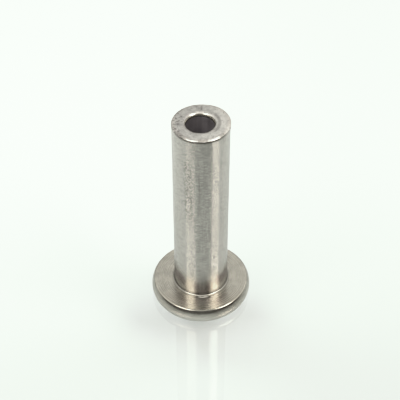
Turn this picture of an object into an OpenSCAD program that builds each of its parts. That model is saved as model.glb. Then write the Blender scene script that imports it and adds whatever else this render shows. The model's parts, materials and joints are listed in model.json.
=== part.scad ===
// Clutch rivet: a flat-headed, semi-tubular rivet turned from one piece of metal.
// It stands on its head with the shank up. +Z runs along the shank, and the origin is
// the centre of the head's outer face.

/* [Shank] */
// Diameter of the shank
shank_d = 6; // [4.8:0.1:8]
// Length of the shank, from the head's inner face to the open end
shank_len = 22.6; // [10:0.1:40]
// Rounding of the shank's outer edge at the open end
end_round = 0.3; // [0.05:0.05:0.6]

/* [Head] */
// Diameter of the head
head_d = 11.2; // [8.5:0.1:18]
// Thickness of the head
head_t = 1.9; // [1.2:0.1:4]
// Radius of the barrel-shaped rim, across the head's thickness
rim_crown = 1.5; // [1.2:0.1:6]
// Rounding of the two edges where the rim meets the head's faces
rim_round = 0.2; // [0.05:0.05:0.5]
// Fillet in the corner between the shank and the head
root_fillet = 0.2; // [0.05:0.05:0.6]

/* [Bore] */
// Diameter of the blind bore in the open end
bore_d = 2.9; // [1.5:0.1:4]
// Depth from the open end to the foot of the bore's straight wall
bore_depth = 6.5; // [2:0.1:9]
// Included angle of the cone that closes the bore
bore_point_angle = 118; // [90:1:150]
// Rounding of the bore's mouth, where the end face rolls into the bore
mouth_round = 0.45; // [0.1:0.05:0.8]

/* [Hidden] */
round_fn = 96;

shank_r = shank_d / 2;
head_r = head_d / 2;
bore_r = bore_d / 2;
end_z = head_t + shank_len;
bore_foot_z = end_z - bore_depth;
bore_point_h = bore_r / tan(bore_point_angle / 2);

// Each rounding keeps to a share of the wall that carries it, so that two never meet.
most_of_wall = 0.45;
end_wall = shank_r - bore_r;
end_round_r = min(end_round, most_of_wall * end_wall);
mouth_round_r = min(mouth_round, most_of_wall * end_wall);
rim_round_r = min(rim_round, most_of_wall * head_t);
root_fillet_r = min(root_fillet, most_of_wall * (head_r - shank_r));

// The rim's profile is one wide arc that runs smoothly into a small round at each face.
rim_crown_r = max(rim_crown, 0.6 * head_t);
rim_crown_x = head_r - rim_crown_r;
face_r = rim_crown_x
    + sqrt(pow(rim_crown_r - rim_round_r, 2) - pow(head_t / 2 - rim_round_r, 2));
crown_half_h = rim_crown_r * (head_t / 2 - rim_round_r) / (rim_crown_r - rim_round_r);

// A square of side r without the quarter disc about its own origin. Placed with its
// square corner on an edge of a profile, it is the waste that rounds a convex edge, or
// the metal that fills a concave one.
module corner_spandrel(r) {
    difference() {
        square(r);
        circle(r, $fn = round_fn);
    }
}

// The head's half section: a flat disc with a barrel-shaped rim
module head_section() {
    square([face_r, head_t]);
    intersection() {
        translate([rim_crown_x, head_t / 2])
            circle(rim_crown_r, $fn = round_fn);
        translate([0, head_t / 2 - crown_half_h])
            square([head_r, 2 * crown_half_h]);
    }
    for (z = [rim_round_r, head_t - rim_round_r])
        translate([face_r, z])
            circle(rim_round_r, $fn = round_fn);
}

// The shank's half section, with the fillet at its root and a broken edge at its end
module shank_section() {
    difference() {
        square([shank_r, end_z]);
        translate([shank_r - end_round_r, end_z - end_round_r])
            corner_spandrel(end_round_r);
    }
    translate([shank_r + root_fillet_r, head_t + root_fillet_r])
        rotate(180) corner_spandrel(root_fillet_r);
}

// The blind bore's half section, with its rolled mouth and its cone-shaped bottom
module bore_section() {
    translate([0, bore_foot_z]) {
        square([bore_r, bore_depth]);
        polygon([[0, 0], [bore_r, 0], [0, -bore_point_h]]);
    }
    translate([bore_r + mouth_round_r, end_z - mouth_round_r])
        mirror([1, 0]) corner_spandrel(mouth_round_r);
}

module rivet() {
    color("silver")
        rotate_extrude($fn = round_fn)
            difference() {
                union() {
                    head_section();
                    shank_section();
                }
                bore_section();
            }
}

rivet();
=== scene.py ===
"""Clutch rivet: a flat-headed semi-tubular rivet, turned from one piece of satin steel.

The rivet stands on its head with the shank up. Its outline is spun about the shank's
axis, worn a little by handling, and finished as drawn, turned and drilled steel.
"""

import json
import math
from functools import cached_property, reduce

import bmesh
import bpy
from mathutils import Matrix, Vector


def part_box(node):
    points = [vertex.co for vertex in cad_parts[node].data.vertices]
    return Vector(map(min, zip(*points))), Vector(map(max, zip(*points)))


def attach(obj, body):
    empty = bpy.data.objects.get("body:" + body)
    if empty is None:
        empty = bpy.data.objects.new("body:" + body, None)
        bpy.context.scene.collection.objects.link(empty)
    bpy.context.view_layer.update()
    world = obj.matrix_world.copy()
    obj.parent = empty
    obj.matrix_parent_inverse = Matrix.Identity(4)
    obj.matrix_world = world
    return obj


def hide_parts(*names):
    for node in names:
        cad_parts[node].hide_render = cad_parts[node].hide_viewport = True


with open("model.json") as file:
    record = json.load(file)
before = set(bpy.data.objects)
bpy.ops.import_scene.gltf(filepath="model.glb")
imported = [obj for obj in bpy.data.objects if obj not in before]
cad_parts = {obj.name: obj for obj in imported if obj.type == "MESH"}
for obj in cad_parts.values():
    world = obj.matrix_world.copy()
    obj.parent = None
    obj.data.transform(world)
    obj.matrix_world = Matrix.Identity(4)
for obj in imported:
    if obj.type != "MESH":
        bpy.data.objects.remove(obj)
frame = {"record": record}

bl_info = {
    "name": "Clutch Rivet",
    "version": (1, 0, 0),
    "blender": (4, 5, 0),
    "location": "3D View > Sidebar > Rivet",
    "description": "Models a flat-headed semi-tubular rivet and the studio it stands in",
    "category": "Add Mesh",
}

MM = 0.001
UM = 0.000001
MOUNTS = {mount["name"]: mount for mount in frame["record"]["mounts"]}
CAD_LOW, CAD_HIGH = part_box("rivet")
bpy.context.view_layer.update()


def straight_wall(name):
    """Radius, foot and top of the straight wall of a round mount, in metres."""
    mount = MOUNTS[name]
    middle = mount["pos_m"][2]
    half = mount["dims"]["length_mm"] * MM / 2
    return mount["dims"]["r_mm"] * MM, middle - half, middle + half


SHANK_R, SHANK_FOOT, SHANK_TOP = straight_wall("shank")
BORE_R, BORE_FOOT, BORE_TOP = straight_wall("end_hole")
HEAD_TOP = MOUNTS["under_head"]["pos_m"][2]


# ---------------------------------------------------------------- settings

class RivetSizes(bpy.types.PropertyGroup):
    """Sizes of the rivet. The defaults come from the frame, but for the rim's radii and the
    bore's point, which it doesn't give."""

    head_diameter: bpy.props.FloatProperty(
        name="Head diameter", description="Width of the head across its rim",
        default=CAD_HIGH.x - CAD_LOW.x, unit="LENGTH", precision=5)
    head_thickness: bpy.props.FloatProperty(
        name="Head thickness", description="Height of the face that the shank rises from",
        default=HEAD_TOP, unit="LENGTH", precision=5)
    rim_crown: bpy.props.FloatProperty(
        name="Rim crown", description="Radius of the barrel-shaped rim, across the head's thickness",
        default=1.5 * MM, unit="LENGTH", precision=5)
    rim_round: bpy.props.FloatProperty(
        name="Rim rounding", description="Radius of the edges where the rim meets the head's faces",
        default=0.2 * MM, unit="LENGTH", precision=5)
    root_fillet: bpy.props.FloatProperty(
        name="Root fillet", description="Radius of the corner between head and shank",
        default=SHANK_FOOT - HEAD_TOP, unit="LENGTH", precision=5)
    shank_diameter: bpy.props.FloatProperty(
        name="Shank diameter", description="Width of the plain shank",
        default=2 * SHANK_R, unit="LENGTH", precision=5)
    height: bpy.props.FloatProperty(
        name="Overall height", description="From the head's outer face to the open end",
        default=CAD_HIGH.z, unit="LENGTH", precision=5)
    end_round: bpy.props.FloatProperty(
        name="End rounding", description="Radius of the open end's outer edge",
        default=CAD_HIGH.z - SHANK_TOP, unit="LENGTH", precision=5)
    bore_diameter: bpy.props.FloatProperty(
        name="Bore diameter", description="Width of the blind bore",
        default=2 * BORE_R, unit="LENGTH", precision=5)
    bore_foot: bpy.props.FloatProperty(
        name="Bore foot", description="Height at which the bore's straight wall ends",
        default=BORE_FOOT, unit="LENGTH", precision=5)
    mouth_round: bpy.props.FloatProperty(
        name="Mouth rounding", description="Radius over which the end face rolls into the bore",
        default=CAD_HIGH.z - BORE_TOP, unit="LENGTH", precision=5)
    point_angle: bpy.props.FloatProperty(
        name="Bore point angle", description="Included angle of the cone that closes the bore",
        default=math.radians(118), unit="ROTATION")
    segments: bpy.props.IntProperty(
        name="Segments", description="Faces around the rivet", default=288, min=48, max=320)


class RivetFinish(bpy.types.PropertyGroup):
    """Colours and surface of the steel."""

    steel: bpy.props.FloatVectorProperty(
        name="Steel", description="Colour of the clean metal", subtype="COLOR", size=3,
        default=(0.352, 0.344, 0.320), min=0, max=1)
    shank_roughness: bpy.props.FloatProperty(
        name="Shank roughness", description="Roughness of the drawn shank",
        default=0.22, subtype="FACTOR", min=0, max=1)
    face_roughness: bpy.props.FloatProperty(
        name="Face roughness", description="Roughness of the turned faces",
        default=0.25, subtype="FACTOR", min=0, max=1)
    # Wear also scales the painted reflections, highlights and shade on the shank and head.
    wear: bpy.props.FloatProperty(
        name="Wear", description="Strength of the streaks, stains and pits",
        default=1.0, subtype="FACTOR", min=0, max=1)


class RivetStage(bpy.types.PropertyGroup):
    """The studio: floor, lights and camera."""

    floor_colour: bpy.props.FloatVectorProperty(
        name="Floor", description="Colour of the glossy floor", subtype="COLOR", size=3,
        default=(0.64, 0.69, 0.70), min=0, max=1)
    sheet_thickness: bpy.props.FloatProperty(
        name="Sheet", description="Depth of the white board under the clear sheet",
        default=5.5 * MM, unit="LENGTH", precision=5)
    lens: bpy.props.FloatProperty(
        name="Lens", description="Focal length of the camera in millimetres",
        default=94.05, min=10)
    elevation: bpy.props.FloatProperty(
        name="Camera elevation", description="Angle of the camera above the horizon",
        default=math.radians(43.35), unit="ROTATION")
    distance: bpy.props.FloatProperty(
        name="Camera distance", description="From the lens to the point it aims at",
        default=111.7 * MM, unit="LENGTH", precision=5)
    aim_height: bpy.props.FloatProperty(
        name="Aim height", description="Height of the point that the camera aims at",
        default=13.8 * MM, unit="LENGTH", precision=5)
    aim_side: bpy.props.FloatProperty(
        name="Aim offset", description="Distance of that point from the shank's axis",
        default=-0.09 * MM, unit="LENGTH", precision=5)


# ---------------------------------------------------------------- shader maths

class Wire:
    """A shader socket that takes part in Python expressions."""

    def __init__(self, nodes, socket):
        self.nodes = nodes
        self.socket = socket

    def __add__(self, other):
        return self.nodes.maths("ADD", self, other)

    def __sub__(self, other):
        return self.nodes.maths("SUBTRACT", self, other)

    def __rsub__(self, other):
        return self.nodes.maths("SUBTRACT", other, self)

    def __mul__(self, other):
        return self.nodes.maths("MULTIPLY", self, other)

    __radd__ = __add__
    __rmul__ = __mul__


class Nodes:
    """The nodes of one material or world."""

    def __init__(self, owner):
        owner.use_nodes = True
        self.owner = owner
        self.tree = owner.node_tree
        self.tree.nodes.clear()

    def add(self, kind, settings, inputs, output=0):
        """Adds a node, sets it up, feeds its sockets with values or wires, and returns its output."""
        node = self.tree.nodes.new(kind)
        for name, value in settings.items():
            setattr(node, name, value)
        for name, value in inputs.items():
            socket = node.inputs[name]
            if isinstance(value, Wire):
                self.tree.links.new(value.socket, socket)
            else:
                socket.default_value = value
        return Wire(self, node.outputs[output]) if node.outputs else None

    def maths(self, operation, *values):
        """One Math node, fed with numbers or wires."""
        return self.add("ShaderNodeMath", {"operation": operation}, dict(enumerate(values)))

    def highest(self, *values):
        """The largest of the values at each place."""
        return reduce(lambda first, second: self.maths("MAXIMUM", first, second), values)

    def smooth(self, value, low, high, start=0.0, end=1.0):
        """Runs smoothly from start to end as value goes from low to high."""
        inputs = {"Value": value, "From Min": low, "From Max": high, "To Min": start, "To Max": end}
        return self.add("ShaderNodeMapRange", {"interpolation_type": "SMOOTHSTEP"}, inputs)

    def beyond(self, value, middle, near, far):
        """Nought about the middle value, out to near on both sides, rising to one at far."""
        return self.smooth(self.maths("ABSOLUTE", value - middle), near, far)

    def band(self, value, middle, core, reach):
        """One about the middle value, out to core on both sides, fading to nought at reach."""
        return self.beyond(value, middle, reach, core)

    def split(self, vector):
        """The three parts of a vector."""
        first = self.add("ShaderNodeSeparateXYZ", {}, {0: vector})
        return [Wire(self, socket) for socket in first.socket.node.outputs]

    def vector(self, x, y, z):
        """A vector joined from three parts."""
        return self.add("ShaderNodeCombineXYZ", {}, {0: x, 1: y, 2: z})

    def noise(self, place, scale, detail=2.0, roughness=0.5):
        """Soft random values around a half. The scale is in bumps a metre."""
        inputs = {"Vector": place, "Scale": scale, "Detail": detail, "Roughness": roughness}
        return self.add("ShaderNodeTexNoise", {}, inputs)

    def blend(self, factor, first, second):
        """Mixes two numbers."""
        return self.add("ShaderNodeMix", {}, {0: factor, 2: first, 3: second})

    def mix(self, factor, first, second):
        """Mixes two colours, each a wire or a tuple of three."""
        colours = {6: first, 7: second}
        for number, colour in colours.items():
            if isinstance(colour, tuple):
                colours[number] = (*colour, 1)
        return self.add("ShaderNodeMix", {"data_type": "RGBA"}, {0: factor, **colours}, output=2)

    def surface(self, shader, kind="ShaderNodeOutputMaterial"):
        """Ends the tree in its last shader, and returns the material or world."""
        self.add(kind, {}, {"Surface": shader})
        return self.owner


class Places:
    """Object coordinates of a turned part: x, y, height, and distance from the axis."""

    def __init__(self, nodes):
        self.nodes = nodes
        self.whole = nodes.add("ShaderNodeTexCoord", {}, {}, output="Object")
        self.x, self.y, self.z = nodes.split(self.whole)

    @cached_property
    def radius(self):
        """The distance from the axis, made once and only where it is used."""
        flat = self.nodes.vector(self.x, self.y, 0)
        return self.nodes.add("ShaderNodeVectorMath", {"operation": "LENGTH"}, {0: flat}, output="Value")


# ---------------------------------------------------------------- materials

def shade(colour, *factors):
    """A colour with its channels scaled: by one factor, or by one for each channel."""
    return tuple(c * f for c, f in zip(colour, factors * (3 // len(factors))))


def new_material(name):
    """The empty node tree of a new material, and the places on its piece."""
    nodes = Nodes(bpy.data.materials.new(name))
    return nodes, Places(nodes)


def steel_shader(nodes, colour, roughness, height, metallic=1.0, upright=0.0):
    """Ends a material in one metal shader, with a bump of the given height in metres, and
    returns the material. `upright` stretches its reflections along the rivet's axis."""
    normal = nodes.add("ShaderNodeBump", {}, {"Strength": 1.0, "Distance": 1.0, "Height": height})
    inputs = {"Base Color": colour, "Metallic": metallic, "Roughness": roughness, "Normal": normal,
              "Specular Tint": (0.8, 0.8, 0.8, 1), "Anisotropic": upright, "Anisotropic Rotation": 0.25}
    return nodes.surface(nodes.add("ShaderNodeBsdfPrincipled", {}, inputs))


def handling_marks(nodes, place, near, grain):
    """Two masks for the shank: the stretches marked by handling, on the near left, lower down
    beside it and on the right, and the small pits in them."""
    x, z = place.x, place.z
    column = nodes.band(x, -1.3 * MM, 0.25 * MM, 0.55 * MM) * nodes.band(z, 17.5 * MM, 3.5 * MM, 5 * MM)
    lower = nodes.band(x, -0.95 * MM, 0.25 * MM, 0.6 * MM) * nodes.band(z, 7 * MM, 2 * MM, 5 * MM)
    right = nodes.band(x, 1.5 * MM, 0.25 * MM, 0.5 * MM) * nodes.band(z, 14 * MM, 6 * MM, 9 * MM)
    marked = (column + lower * 0.65 + right * 0.6) * near
    dots = nodes.add("ShaderNodeTexVoronoi", {}, {"Vector": place.whole, "Scale": 4600})
    pits = nodes.smooth(dots, 0.46, 0.32) * nodes.smooth(marked + grain * 3, 0.4, 0.8)
    return marked, pits


def painted_foot_shading(nodes, place, near, broad, from_head):
    """Two masks for the shank's foot: a darker, browner painted reflection of the head, and a line of
    painted shade in the corner. The painted reflection is strongest at the sides and in the middle of the
    front, and weaker behind."""
    x = place.x
    back = nodes.smooth(place.y, -1 * MM, 1 * MM)
    sides = nodes.beyond(x, 0, 1.3 * MM, 2.1 * MM) * (1 - back) + back * 0.4
    sides = sides * nodes.band(from_head + broad * (0.8 * MM), 1.75 * MM, 0.4 * MM, 1.15 * MM)
    # The painted reflection is lighter in one narrow stretch of the front.
    painted_light = nodes.band(x, 0.28 * MM, 0.3 * MM, 0.55 * MM) * nodes.smooth(from_head, 1 * MM, 1.8 * MM)
    middle = nodes.band(x, 0.16 * MM, 0.8 * MM, 1.0 * MM) - painted_light * 0.8
    front = nodes.smooth(from_head, 2.5 * MM, 1.5 * MM) * near * (0.12 + middle * 0.42)
    # The line is painted shade in the corner, broken along its length.
    line = nodes.band(from_head, 0.36 * MM, 0.05 * MM, 0.14 * MM) * nodes.band(x, 0, 1.7 * MM, 2.2 * MM)
    line = line * near * nodes.smooth(broad, -0.2, 0.1, 0.4, 0.8)
    return nodes.highest(sides * 0.7, front), line


def drawn_steel(finish, sizes):
    """The shank: streaks along it, short faint hoops, a fine grain and pits, with painted highlights, a
    painted reflection of the head at the foot, and painted shade at the root and under the open end.
    """
    nodes, place = new_material("drawn_steel")
    x, y, z = place.x, place.y, place.z
    fine = nodes.noise(nodes.vector(x, y, z * 0.04), 9000, detail=3) - 0.5
    broad = nodes.noise(nodes.vector(x, y, z * 0.1), 2400) - 0.5
    hoops = nodes.noise(nodes.vector(x * 0.25, y * 0.25, z), 7000) - 0.5
    grain = nodes.noise(place.whole, 6000, roughness=0.7) - 0.5
    near = nodes.smooth(y, 0, -1 * MM)
    marked, pits = handling_marks(nodes, place, near, grain)
    # The grain is coarser on the flanks and the left. Two stretches are painted brighter: painted
    # highlights along the lamps' reflections. The middle of the front is darkened: painted reflection of
    # the shaded floor in front.
    left = nodes.smooth(x, -0.2 * MM, -0.9 * MM) * near * nodes.smooth(z, 22.5 * MM, 21 * MM)
    flanks = nodes.beyond(x, 0.1 * MM, 1.2 * MM, 1.9 * MM)
    middle = nodes.band(x, 0.2 * MM, 0.6 * MM, 1.3 * MM) * near
    painted_highlight = nodes.band(x, 1.6 * MM, 0.3 * MM, 0.45 * MM) * nodes.smooth(z, 5 * MM, 8 * MM)
    painted_highlight = painted_highlight + nodes.band(x, -1.1 * MM, 0.4 * MM, 0.7 * MM) * nodes.smooth(z, 14 * MM, 8 * MM)
    tone = fine * 0.24 + broad * 0.15 + hoops * (flanks * 0.1 + 0.4)
    tone = tone + flanks * 0.055 - middle * 0.045 + 0.02
    tone = tone + grain * (marked * 0.15 + left * 0.1 + flanks * 0.4 + 0.3) + painted_highlight * near * 0.1
    spread = 0.26 * finish.wear
    colour = nodes.mix(nodes.smooth(tone, -0.16, 0.16), shade(finish.steel, 1 - spread),
                       shade(finish.steel, 1 + spread))
    # The foot is painted darker and browner, a painted reflection of the head, with a line of painted
    # shade in the corner.
    stain_and_painted_reflection, painted_root_shade = painted_foot_shading(nodes, place, near, broad, z - sizes.head_thickness)
    colour = nodes.mix(stain_and_painted_reflection * finish.wear, colour, shade(finish.steel, 0.4, 0.34, 0.38))
    # One broken scratch runs along the middle.
    scratch = nodes.band(x + broad * (0.3 * MM), -0.18 * MM, 0.03 * MM, 0.13 * MM)
    scratch = scratch * nodes.band(z, 17.5 * MM, 2 * MM, 4 * MM) * near * nodes.smooth(grain, -0.15, 0.1)
    # A line of painted shade runs under the open end, strongest in front.
    under = nodes.band(z, sizes.height - 0.28 * MM, 0.08 * MM, 0.16 * MM)
    under = under * nodes.smooth(y, -1 * MM, -2.6 * MM, 0.2, 0.95)
    under = under * nodes.smooth(broad, -0.3, -0.05, 0.6, 1)
    dark = nodes.highest(pits, scratch * 0.6, painted_root_shade, under) * (0.75 * finish.wear)
    colour = nodes.mix(dark, colour, shade(finish.steel, 0.4, 0.38, 0.36))
    smoothest, roughest = finish.shank_roughness - 0.03, finish.shank_roughness + 0.04
    roughness = nodes.smooth(broad, -0.15, 0.15, smoothest, roughest)
    height = fine * (2 * UM) + broad * (1.5 * UM) + hoops * (1.8 * UM) - pits * (6 * UM)
    height = height + grain * (marked * (2 * UM) + left * (0.4 * UM) + 1.6 * UM)
    return steel_shader(nodes, colour, roughness, height, upright=0.9)


def turned_steel(finish, sizes):
    """The head: fine rings around the axis, soft stains, and a rim painted paler towards its outer face,
    with painted reflections and a painted highlight in front of the shank.
    """
    nodes, place = new_material("turned_steel")
    x, y = place.x, place.y
    rings = nodes.noise(nodes.vector(place.radius, place.z, x * 0.02), 12000)
    stains = nodes.noise(place.whole, 900, detail=4, roughness=0.6)
    grain = nodes.noise(place.whole, 14000)
    wear = finish.wear
    steel = shade(finish.steel, 1.03, 1.03, 1.0)
    tone = nodes.smooth(stains * 0.6 + grain * 0.4, 0.35, 0.62)
    colour = nodes.mix(tone, shade(steel, 1 - 0.2 * wear), shade(steel, 1 + 0.12 * wear))
    # In front of the shank, at its sides, the face is painted darker and browner: painted reflection of
    # the shank. In the middle a painted highlight brightens it.
    front = nodes.smooth(y, -1.5 * MM, -3.5 * MM) * nodes.beyond(x, -0.2 * MM, 1 * MM, 1.8 * MM)
    colour = nodes.mix(front * (0.36 * wear), colour, shade(steel, 0.78, 0.73, 0.68))
    painted_highlight = nodes.band(x, 0.25 * MM, 0.3 * MM, 0.8 * MM) * nodes.smooth(y, -3 * MM, -3.3 * MM)
    painted_highlight = painted_highlight * nodes.smooth(y, -5.2 * MM, -3.4 * MM)
    colour = nodes.mix(painted_highlight * wear, colour, shade(steel, 1.7, 1.7, 1.76))
    # The rim is painted paler towards the outer face: painted reflection of the bright floor.
    head_r, thickness = sizes.head_diameter / 2, sizes.head_thickness
    low = nodes.smooth(place.z, 0.7 * thickness, 0.1 * thickness)
    rim = nodes.smooth(place.radius, head_r - 0.6 * MM, head_r - 0.3 * MM)
    colour = nodes.mix(rim * low, colour, shade(finish.steel, 1.35, 1.37, 1.38))
    # The face is darker along the root at the sides.
    root = nodes.band(place.radius, sizes.shank_diameter / 2 + 0.1 * MM, 0.08 * MM, 0.2 * MM)
    root = root * nodes.beyond(x, -0.1 * MM, 1.4 * MM, 2.1 * MM)
    colour = nodes.mix(root * (0.5 * wear), colour, shade(finish.steel, 0.35))
    smoothest, roughest = finish.face_roughness - 0.03, finish.face_roughness + 0.05
    roughness = nodes.smooth(rings, 0.3, 0.7, smoothest, roughest)
    roughness = roughness + rim * nodes.smooth(y, -1 * MM, 2.5 * MM) * 0.15 - rim * 0.07 + rim * low * 0.2
    return steel_shader(nodes, colour, roughness, rings * (0.9 * UM) + grain * (0.4 * UM))


def end_tears(nodes, place, bore_r):
    """Two masks where the cropping tore the end face: a sickle beside the bore, a notch behind it."""
    sickle = nodes.band(place.radius, bore_r + 0.45 * MM, 0.08 * MM, 0.22 * MM)
    sickle = sickle * nodes.smooth(place.x, 0.9 * MM, 1.6 * MM)
    notch = nodes.band(place.x, 0.05 * MM, 0.04 * MM, 0.14 * MM)
    notch = notch * nodes.band(place.y, 2.3 * MM, 0.2 * MM, 0.45 * MM)
    return sickle, notch


def cut_steel(finish, sizes):
    """The open end: cropped, mottled, with pits and darker stains, and painted light that makes it
    lighter on the right.
    """
    nodes, place = new_material("cut_steel")
    x, y = place.x, place.y
    shank_r, bore_r, wear = sizes.shank_diameter / 2, sizes.bore_diameter / 2, finish.wear
    blotches = nodes.noise(place.whole, 1900, detail=4, roughness=0.65)
    grain = nodes.noise(place.whole, 8000, detail=3, roughness=0.6)
    dots = nodes.noise(place.whole, 4200, detail=1)
    pits = nodes.smooth(dots + nodes.smooth(x, -1.4 * MM, -2.2 * MM) * 0.1, 0.66, 0.74)
    sickle, notch = end_tears(nodes, place, bore_r)
    # Painted light makes it lighter on the right and in front, and darker behind.
    painted_light = nodes.smooth(x, -0.7 * shank_r, 0.9 * shank_r, 0.1, 1)
    painted_light = painted_light - nodes.smooth(y, 0, 0.8 * shank_r) * 0.5
    tone = nodes.smooth(blotches * 0.65 + grain * 0.35, 0.34, 0.66) * 0.7 + painted_light * 0.45
    loss = 0.32 * wear
    deep = shade(finish.steel, 1.18 - loss, 1.19 - loss, 1.24 - loss)
    colour = nodes.mix(tone, deep, shade(finish.steel, 1.6, 1.63, 1.69))
    stain_and_painted_reflection = nodes.highest(pits * 0.75, sickle * 0.5, notch * 0.5)
    colour = nodes.mix(stain_and_painted_reflection * wear, colour, shade(finish.steel, 0.4, 0.38, 0.4))
    # The lip shines in two short stretches behind the bore, the edge in two at the front.
    lip = nodes.smooth(place.radius, bore_r + 0.5 * MM, bore_r + 0.3 * MM)
    shine = nodes.band(x, -0.76 * MM, 0.18 * MM, 0.4 * MM)
    shine = shine + nodes.band(x, 0.6 * MM, 0.22 * MM, 0.42 * MM)
    edge = nodes.smooth(place.radius, shank_r - 0.5 * MM, shank_r - 0.2 * MM)
    away = nodes.smooth(y - x * 0.07, -2.45 * MM, -2.25 * MM)
    dull = nodes.highest(away, nodes.band(x, 0.22 * MM, 0.42 * MM, 0.6 * MM)) * edge
    # The front edge is darker outside its two shining stretches.
    darker_edge = dull * nodes.smooth(y, -1.2 * MM, -2 * MM) * 0.4
    colour = nodes.mix(darker_edge, colour, shade(finish.steel, 0.6))
    roughness = nodes.smooth(blotches, 0.3, 0.7, 0.38, 0.27)
    roughness = roughness + dull * 0.45 - lip * (shine * 0.25 - 0.2)
    height = blotches * (14 * UM) + grain * (3 * UM) - pits * (8 * UM)
    height = height - sickle * (12 * UM) - notch * (15 * UM)
    return steel_shader(nodes, colour, roughness, height)


def drilled_steel(finish, sizes):
    """The bore: dull, rough rings, with painted light and shade: lighter deeper down and along one
    stretch, darker near the mouth and on the left.
    """
    nodes, place = new_material("drilled_steel")
    x, y, z = place.x, place.y, place.z
    rings = nodes.noise(nodes.vector(x * 0.1, y * 0.1, z), 7000)
    streaks = nodes.noise(nodes.vector(x, y, z * 0.05), 1800)
    steel = shade(finish.steel, 0.31, 0.30, 0.35)
    # Painted light brightens the wall deeper down, and a painted highlight runs along one stretch.
    deep = nodes.smooth(z, sizes.height - 0.8 * MM, sizes.height - 3.5 * MM)
    painted_highlight = nodes.band(x, 0.38 * MM, 0.1 * MM, 0.45 * MM)
    tone = nodes.smooth(streaks * 0.7 + rings * 0.3, 0.3, 0.7) * 0.3 + deep * 0.7 + painted_highlight * 0.25
    colour = nodes.mix(tone, shade(steel, 0.6), shade(steel, 1.6))
    # Painted shade darkens the left.
    left = nodes.smooth(x, 0.1 * MM, -1.2 * MM, 0.0, 0.55)
    colour = nodes.mix(left, colour, shade(steel, 0.2))
    return steel_shader(nodes, colour, 0.55, rings * (5 * UM), metallic=0.1)


def clear_sheet():
    """A clear glossy sheet. What lies under it shows through, and it mirrors the lights."""
    nodes = Nodes(bpy.data.materials.new("clear_sheet"))
    index = 1.8
    # Rays that come from below meet the sheet's back, where the index is turned over.
    below = nodes.add("ShaderNodeNewGeometry", {}, {}, output="Backfacing")
    fresnel = nodes.add("ShaderNodeFresnel", {}, {"IOR": index - below * (index - 1 / index)})
    clear = nodes.add("ShaderNodeBsdfTransparent", {}, {})
    gloss = nodes.add("ShaderNodeBsdfGlossy", {}, {"Roughness": 0.03})
    return nodes.surface(nodes.add("ShaderNodeMixShader", {}, {0: fresnel, 1: clear, 2: gloss}))


def white_board(stage):
    """The matt white board under the sheet. Painted shade makes it a little darker in front, as under a
    light that stands behind, darker still far in front, and a little darker on the right."""
    nodes, place = new_material("white_board")
    pale = nodes.smooth(place.y, -30 * MM, 35 * MM, 0.65, 0.95)
    pale = pale - nodes.smooth(place.x, -10 * MM, 25 * MM) * 0.09
    pale = pale - nodes.smooth(place.y, -30 * MM, -60 * MM) * 0.2
    colour = nodes.mix(pale, (0, 0, 0), tuple(stage.floor_colour))
    inputs = {"Base Color": colour, "Roughness": 1.0, "Specular IOR Level": 0.0}
    return nodes.surface(nodes.add("ShaderNodeBsdfPrincipled", {}, inputs))


# ---------------------------------------------------------------- modelling

MERGE_DISTANCE = 0.5 * UM
COARSE_CUT = 0.18 * MM  # the outline's straight stretches are cut this short,
FINE_CUT = 0.06 * MM  # and this short on the level faces that carry marks
BURR = 0.04 * MM  # how far the open end's edge swells
UNEVENNESS = 0.05 * MM  # the height of the end face's waves
OFF_MIDDLE = 0.07 * MM  # how far the bore lies from the shank's axis
GROOVE_DEPTH = 0.06 * MM
FULL_DENT = 0.1  # the depth in millimetres that a dent of weight one would have
DENTS = (  # azimuth from the front in degrees, then radius, reach and depth in millimetres
    (-62, 2.55, 0.22, 0.06), (-74, 2.75, 0.2, 0.07), (-88, 2.3, 0.25, 0.05), (-55, 2.95, 0.16, 0.09),
    (-66, 2.98, 0.14, 0.09), (-47, 2.95, 0.16, 0.08), (-33, 2.95, 0.14, 0.05), (7, 2.85, 0.3, 0.06),
    (38, 2.95, 0.16, 0.07), (118, 2.9, 0.3, 0.06))


def arc(centre, radius, start, end, steps):
    """Points of an arc in the (radius, height) plane, between two angles in degrees, with
    the given number of steps."""
    angles = [math.radians(start + (end - start) * i / steps) for i in range(steps + 1)]
    return [(centre[0] + radius * math.cos(a), centre[1] + radius * math.sin(a)) for a in angles]


def outline(sizes):
    """The rivet's half outline: (radius, height) points from the middle of the head's
    outer face, round the rim, up the shank and down the bore to the tip of its cone."""
    head_r, shank_r = sizes.head_diameter / 2, sizes.shank_diameter / 2
    bore_r = sizes.bore_diameter / 2
    crown, corner, half = sizes.rim_crown, sizes.rim_round, sizes.head_thickness / 2
    fillet, edge, mouth = sizes.root_fillet, sizes.end_round, sizes.mouth_round
    tip = sizes.bore_foot - bore_r / math.tan(sizes.point_angle / 2)
    slope = math.degrees(math.asin((half - corner) / (crown - corner)))
    corner_x = head_r - crown + (crown - corner) * math.cos(math.radians(slope))
    return [
        (0, 0),
        *arc((corner_x, corner), corner, -90, -slope, 5),
        *arc((head_r - crown, half), crown, -slope, slope, 22)[1:],
        *arc((corner_x, 2 * half - corner), corner, slope, 90, 6)[1:],
        *arc((shank_r + fillet, sizes.head_thickness + fillet), fillet, 270, 180, 8),
        *arc((shank_r - edge, sizes.height - edge), edge, 0, 90, 9),
        *arc((bore_r + mouth, sizes.height - mouth), mouth, 90, 180, 12),
        (bore_r, sizes.bore_foot),
        (0, tip),
    ]


def fine_outline(points):
    """The same outline with its straight stretches cut short: shortest on the level faces
    above the ground, where the marks are."""
    fine = [points[0]]
    for start, end in zip(points, points[1:]):
        marked = abs(start[1] - end[1]) < UM < end[1]
        cuts = max(1, round(math.dist(start, end) / (FINE_CUT if marked else COARSE_CUT)))
        for i in range(1, cuts + 1):
            fine.append(tuple(a + (b - a) * i / cuts for a, b in zip(start, end)))
    return fine


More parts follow.
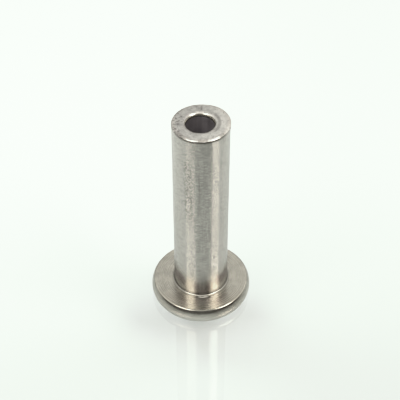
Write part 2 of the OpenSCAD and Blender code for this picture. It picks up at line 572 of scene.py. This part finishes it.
def spin_outline(name, points, segments):
    """A closed shell made by drawing the outline as a chain of edges and spinning it. The
    chain starts at the origin, from a small plane that is merged into its centre."""
    bpy.ops.object.select_all(action="DESELECT")
    bpy.ops.mesh.primitive_plane_add(size=MM)
    shell = bpy.context.object
    shell.name = shell.data.name = name
    bpy.ops.object.mode_set(mode="EDIT")
    bpy.ops.mesh.select_mode(type="VERT")
    bpy.ops.mesh.select_all(action="SELECT")
    bpy.ops.mesh.merge(type="CENTER")
    for start, end in zip(points, points[1:]):
        step = (end[0] - start[0], 0, end[1] - start[1])
        bpy.ops.mesh.extrude_region_move(TRANSFORM_OT_translate={"value": step})
    bpy.ops.mesh.select_all(action="SELECT")
    bpy.ops.mesh.spin(steps=segments, angle=math.tau, center=(0, 0, 0), axis=(0, 0, 1))
    bpy.ops.mesh.select_all(action="SELECT")
    bpy.ops.mesh.remove_doubles(threshold=MERGE_DISTANCE)
    bpy.ops.mesh.normals_make_consistent(inside=False)
    bpy.ops.object.mode_set(mode="OBJECT")
    return shell


def select_faces(piece, wanted):
    """Selects, in edit mode, the faces whose middle's (radius, height) passes the test."""
    bpy.ops.mesh.select_mode(type="FACE")
    bpy.ops.mesh.select_all(action="DESELECT")
    grid = bmesh.from_edit_mesh(piece.data)
    for face in grid.faces:
        middle = face.calc_center_median()
        face.select_set(wanted(math.hypot(middle.x, middle.y), middle.z))
    bmesh.update_edit_mesh(piece.data)


def paint(piece, material, wanted):
    """Gives the faces that pass the test their own material."""
    piece.data.materials.append(material)
    bpy.ops.object.mode_set(mode="EDIT")
    select_faces(piece, wanted)
    piece.active_material_index = len(piece.data.materials) - 1
    bpy.ops.object.material_slot_assign()
    bpy.ops.object.mode_set(mode="OBJECT")


def ease(value, low, high):
    """Rises smoothly from nought at low to one at high; low may be the larger."""
    t = min(max((value - low) / (high - low), 0), 1)
    return t * t * (3 - 2 * t)


def weigh(piece, name, weight):
    """Adds a vertex group whose weights are a function of each vertex's place."""
    group = piece.vertex_groups.new(name=name)
    for vertex in piece.data.vertices:
        group.add([vertex.index], min(max(weight(*vertex.co), 0), 1), "REPLACE")
    return name


def apply_modifier(piece, kind, name, settings):
    """Adds a modifier, sets it up and applies it."""
    modifier = piece.modifiers.new(name, kind)
    for key, value in settings.items():
        setattr(modifier, key, value)
    bpy.context.view_layer.objects.active = piece
    bpy.ops.object.modifier_apply(modifier=name)


def press(piece, name, depth, weight, direction="Z"):
    """Pushes the metal down, or against another direction, by depth times the weight."""
    apply_modifier(piece, "DISPLACE", name, {
        "direction": direction, "strength": -depth, "mid_level": 0,
        "vertex_group": weigh(piece, name, weight)})


def swell_edge(piece, sizes):
    """A burr that swells the open end's edge at the back and the sides."""
    shank_r, top = sizes.shank_diameter / 2, sizes.height
    face_r = shank_r - sizes.end_round

    def burr(x, y, z):
        if math.hypot(x, y) < face_r + UM:
            return 0
        behind = ease(y, -2.4 * MM, -0.6 * MM) * ease(z, top - 1.1 * MM, top - 0.25 * MM)
        return behind * (0.45 + 0.55 * ease(x, -0.5 * MM, 2 * MM))

    apply_modifier(piece, "CAST", "burr", {
        "cast_type": "CYLINDER", "use_z": False, "use_radius_as_size": False, "size": shank_r + BURR,
        "factor": 1.0, "vertex_group": weigh(piece, "burr", burr)})


def roughen_end(piece, sizes):
    """The uneven end face, less so at the bore's lip."""
    bore_r, top = sizes.bore_diameter / 2, sizes.height

    def cropped(x, y, z):
        past_lip = ease(math.hypot(x, y), bore_r + 0.3 * MM, bore_r + 0.6 * MM)
        return ease(z, top - 0.2 * MM, top - 0.02 * MM) * (0.3 + 0.7 * past_lip)

    clouds = bpy.data.textures.new("cropped", "CLOUDS")
    clouds.noise_scale = 0.7 * MM
    clouds.noise_depth = 2
    apply_modifier(piece, "DISPLACE", "cropped", {
        "texture": clouds, "texture_coords": "LOCAL", "direction": "Z", "strength": UNEVENNESS,
        "mid_level": 1.0, "vertex_group": weigh(piece, "cropped", cropped)})


def dent_end(piece, sizes):
    """Dents and nicks in the end face and its edge."""
    top = sizes.height
    places = [(r * MM * math.sin(math.radians(a)), -r * MM * math.cos(math.radians(a)), reach * MM, depth)
              for a, r, reach, depth in DENTS]

    def dents(x, y, z):
        depths = [ease(math.hypot(x - px, y - py), reach, 0) * depth for px, py, reach, depth in places]
        return max(depths) / FULL_DENT * ease(z, top - 0.6 * MM, top - 0.2 * MM)

    press(piece, "dents", FULL_DENT * MM, dents)


def shift_bore(piece, sizes):
    """Moves the bore a little off the middle, to the left."""
    shank_r, bore_r, top = sizes.shank_diameter / 2, sizes.bore_diameter / 2, sizes.height

    def bored(x, y, z):
        inside = (math.hypot(x, y) < shank_r * 0.96) * ease(z, top - 7.5 * MM, top - 6.4 * MM)
        return inside * ease(math.hypot(x, y), bore_r + 0.75 * MM, bore_r + 0.35 * MM)

    press(piece, "bore", OFF_MIDDLE, bored, direction="X")


def groove_head(piece, sizes):
    """A short, slightly wavy turning mark on the head, in front of the root."""
    shank_r, top = sizes.shank_diameter / 2, sizes.head_thickness

    def groove(x, y, z):
        azimuth = math.degrees(math.atan2(x, -y))
        wave = 0.03 * MM * math.sin(azimuth * 0.45)
        ring = ease(abs(math.hypot(x, y) - shank_r - 0.36 * MM - wave), 0.12 * MM, 0.02 * MM)
        return ring * ease(abs(azimuth - 5), 15, 7) * ease(abs(z - top), 0.1 * MM, 0)

    press(piece, "groove", GROOVE_DEPTH, groove)


# ---------------------------------------------------------------- stage

FLOOR_WIDTH = 3
WHITE_LEVEL = 2  # radiance that the display shows as full white
PLAIN_TONES = (0.15, 0.3, 0.5)  # shown as they are
BRIGHT_TONES = (0.69, 0.85, 1.05, 1.35)  # held back, in red, green and blue, to these:
SHOULDERS = ((0.69, 0.81, 0.885, 0.945), (0.69, 0.83, 0.935, 0.985), (0.69, 0.815, 0.89, 0.95))
PANEL_DISTANCE = 300 * MM
PANEL_HEIGHT = 140 * MM
WARM, NEUTRAL = (1.0, 0.92, 0.83), (1.0, 0.98, 0.95)
PANELS = (  # name, azimuth from the front, elevation, width, radiance, colour, mirrored or not
    ("panel_right", 61.5, 47, 125 * MM, 11.9, WARM, True),
    ("panel_left", -42.5, 47, 150 * MM, 7.1, WARM, True),
    ("key_right", 122, 50, 140 * MM, 4.6, NEUTRAL, False),
    ("key_left", -122, 50, 140 * MM, 7.0, NEUTRAL, False),
    ("key_front", 0, 50, 140 * MM, 2.0, NEUTRAL, False))


def set_view(view):
    """A plain display, with a soft shoulder so that the bright floor keeps its shading."""
    view.view_transform = "Standard"
    view.use_curve_mapping = True
    mapping = view.curve_mapping
    mapping.white_level = (WHITE_LEVEL,) * 3
    for curve, shoulder in zip(mapping.curves, SHOULDERS):
        for bright, shown in (*zip(PLAIN_TONES, PLAIN_TONES), *zip(BRIGHT_TONES, shoulder)):
            curve.points.new(bright / WHITE_LEVEL, shown)
    mapping.update()


def add_floor(stage):
    """A clear sheet on the ground plane, and a white board a few millimetres below it."""
    for name, height, material in (
        ("floor_sheet", 0, clear_sheet()),
        ("floor_board", -stage.sheet_thickness, white_board(stage)),
    ):
        bpy.ops.mesh.primitive_plane_add(size=FLOOR_WIDTH, location=(0, 0, height))
        floor = bpy.context.object
        floor.name = name
        floor.data.materials.append(material)


def add_world(scene):
    """A pale studio: a dome that is brighter behind the rivet and at its sides, with a bright
    horizon at the back, and duller in front, where someone stands. The camera sees it plain."""
    nodes = Nodes(bpy.data.worlds.new("studio"))
    side, depth, up = nodes.split(nodes.add("ShaderNodeTexCoord", {}, {}, output="Generated"))
    dome = nodes.smooth(up, 0.35, 0.55)
    front = nodes.smooth(up, 0.4, 0.72) * (0.85 - nodes.band(side, 0.06, 0.2, 0.33) * 0.2)
    back = nodes.smooth(up, 0.75, 0.5, 1.0, 1.3) * dome + side * 0.12
    sides = nodes.beyond(side, 0, 0.42, 0.64) * dome * 0.9
    horizon = nodes.smooth(up, 0.3, 0.1) * nodes.smooth(depth, -0.3, 0.2)
    light = nodes.blend(nodes.smooth(depth, -0.3, 0.3), front, back)
    light = light + sides + horizon * 0.7 + 0.15
    seen = nodes.add("ShaderNodeLightPath", {}, {}, output="Is Camera Ray")
    colour = nodes.mix(seen, (1.0, 0.98, 0.91), (0.93, 0.97, 0.94))
    inputs = {"Color": colour, "Strength": nodes.blend(seen, light, 1.0)}
    background = nodes.add("ShaderNodeBackground", {}, inputs)
    scene.world = nodes.surface(background, "ShaderNodeOutputWorld")


def add_panel(name, azimuth, elevation, width, radiance, colour, mirrored):
    """A soft rectangular light that faces the rivet. Its power gives the radiance asked for."""
    turn, lift = math.radians(azimuth), math.radians(elevation)
    away = Vector((math.sin(turn) * math.cos(lift), -math.cos(turn) * math.cos(lift), math.sin(lift)))
    bpy.ops.object.light_add(type="AREA", location=away * PANEL_DISTANCE)
    panel = bpy.context.object
    panel.name = name
    panel.rotation_euler = away.to_track_quat("Z", "Y").to_euler()
    panel.data.shape = "RECTANGLE"
    panel.data.size, panel.data.size_y = width, PANEL_HEIGHT
    panel.data.energy = radiance * math.pi * width * PANEL_HEIGHT
    panel.data.color = colour
    panel.visible_camera = False
    panel.visible_glossy = mirrored


def add_camera(scene, stage):
    """A camera straight in front, lifted to its elevation, that aims at the shank."""
    lift = stage.elevation
    aim = Vector((stage.aim_side, 0, stage.aim_height))
    away = Vector((0, -math.cos(lift), math.sin(lift)))
    bpy.ops.object.camera_add(location=aim + away * stage.distance)
    camera = bpy.context.object
    camera.rotation_euler = away.to_track_quat("Z", "Y").to_euler()
    camera.data.sensor_width = 36
    camera.data.lens = stage.lens
    camera.data.clip_start = 5 * MM
    camera.data.clip_end = 10
    scene.camera = camera


# ---------------------------------------------------------------- operators

class RIVET_OT_rivet(bpy.types.Operator):
    """Spins the rivet from its outline and gives it its steel"""

    bl_idname = "rivet.rivet"
    bl_label = "Rivet"

    def execute(self, context):
        sizes, finish = context.scene.rivet_sizes, context.scene.rivet_finish
        body = spin_outline("rivet_body", fine_outline(outline(sizes)), sizes.segments)
        bpy.ops.object.shade_smooth()
        shank_r, bore_r = sizes.shank_diameter / 2, sizes.bore_diameter / 2
        foot = sizes.head_thickness + sizes.root_fillet / 2
        end = sizes.height - sizes.end_round / 2
        lip = sizes.height - sizes.mouth_round
        paint(body, turned_steel(finish, sizes), lambda r, z: True)
        paint(body, drawn_steel(finish, sizes),
              lambda r, z: foot < z < end and r > (shank_r + bore_r) / 2)
        paint(body, cut_steel(finish, sizes), lambda r, z: z >= end)
        paint(body, drilled_steel(finish, sizes),
              lambda r, z: r < shank_r * 0.7 and sizes.head_thickness < z < lip)
        for wear in (swell_edge, roughen_end, dent_end, shift_bore, groove_head):
            wear(body, sizes)
        body.vertex_groups.clear()
        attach(body, "root")
        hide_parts("rivet")
        return {"FINISHED"}


class RIVET_OT_stage(bpy.types.Operator):
    """Adds the floor, the studio lights and the camera"""

    bl_idname = "rivet.stage"
    bl_label = "Stage"

    def execute(self, context):
        stage = context.scene.rivet_stage
        set_view(context.scene.view_settings)
        add_floor(stage)
        add_world(context.scene)
        for panel in PANELS:
            add_panel(*panel)
        add_camera(context.scene, stage)
        return {"FINISHED"}


class RIVET_PT_panel(bpy.types.Panel):
    """Lists the rivet's sizes and finish, the stage, and a button for each step"""

    bl_idname = "RIVET_PT_panel"
    bl_label = "Clutch Rivet"
    bl_space_type = "VIEW_3D"
    bl_region_type = "UI"
    bl_category = "Rivet"

    def draw(self, context):
        scene = context.scene
        for group, operator in (
            (scene.rivet_sizes, None),
            (scene.rivet_finish, RIVET_OT_rivet),
            (scene.rivet_stage, RIVET_OT_stage),
        ):
            box = self.layout.box()
            for name in group.bl_rna.properties.keys():
                if name not in ("rna_type", "name"):
                    box.prop(group, name)
            if operator:
                box.operator(operator.bl_idname)


CLASSES = (RivetSizes, RivetFinish, RivetStage, RIVET_OT_rivet, RIVET_OT_stage, RIVET_PT_panel)
GROUPS = {"rivet_sizes": RivetSizes, "rivet_finish": RivetFinish, "rivet_stage": RivetStage}


def register():
    for cls in CLASSES:
        bpy.utils.register_class(cls)
    for name, group in GROUPS.items():
        setattr(bpy.types.Scene, name, bpy.props.PointerProperty(type=group))


def unregister():
    for name in GROUPS:
        delattr(bpy.types.Scene, name)
    for cls in reversed(CLASSES):
        bpy.utils.unregister_class(cls)


def main():
    """Registers the add-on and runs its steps."""
    register()
    bpy.ops.rivet.rivet()
    bpy.ops.rivet.stage()


if __name__ == "__main__":
    main()
